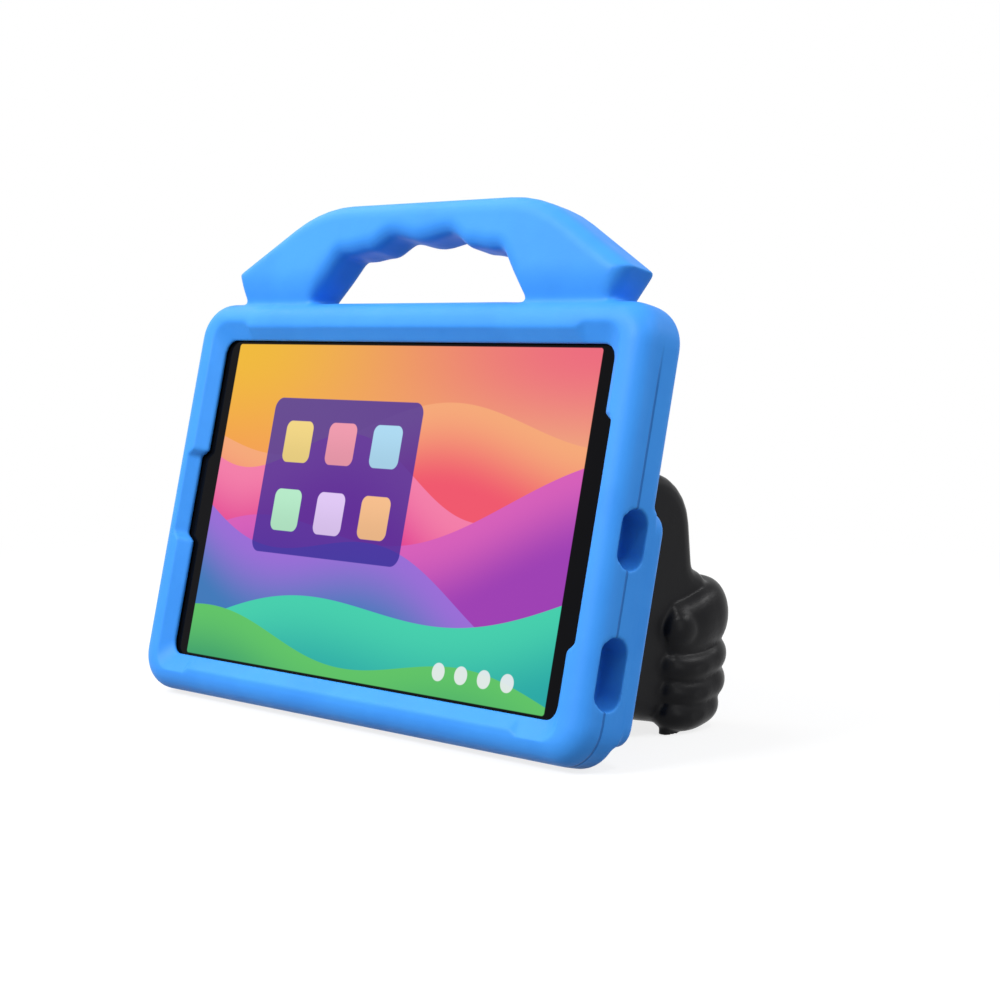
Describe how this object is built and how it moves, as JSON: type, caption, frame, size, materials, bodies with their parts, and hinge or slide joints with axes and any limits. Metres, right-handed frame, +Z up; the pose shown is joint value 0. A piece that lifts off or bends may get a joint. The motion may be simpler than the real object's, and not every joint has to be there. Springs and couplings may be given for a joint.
{
  "type": "kids tablet case",
  "caption": "Moulded foam case with a carrying handle round a tablet, leaning back on hand-shaped stands plugged into its back.",
  "frame": {"origin": "on the floor, under the middle of the part's box", "axes": "+X to the right along the case, +Y backwards, +Z up; the case leans back about its lower edge"},
  "size_m": [0.269, 0.1286, 0.2089],
  "materials": {
    "foam_blue": "satin",
    "stand_black": "matte",
    "shell_black": "satin",
    "glass_black": "gloss",
    "screen_panel": "gloss",
    "lens_dark": "gloss",
    "metal_bright": "satin",
    "battery_grey": "matte",
    "board_green": "matte"
  },
  "bodies": {
    "root": {"foam_case": "foam_blue", "stand_hand_right": "stand_black", "stand_hand_left": "stand_black", "tablet_shell": "shell_black", "tablet_glass": "glass_black", "screen_panel": "screen_panel", "battery": "battery_grey", "main_board": "board_green", "charging_socket": "metal_bright", "speaker": "shell_black", "audio_socket": "metal_bright", "camera_rim": "metal_bright", "camera_lens": "lens_dark"}
  },
  "joints": []
}
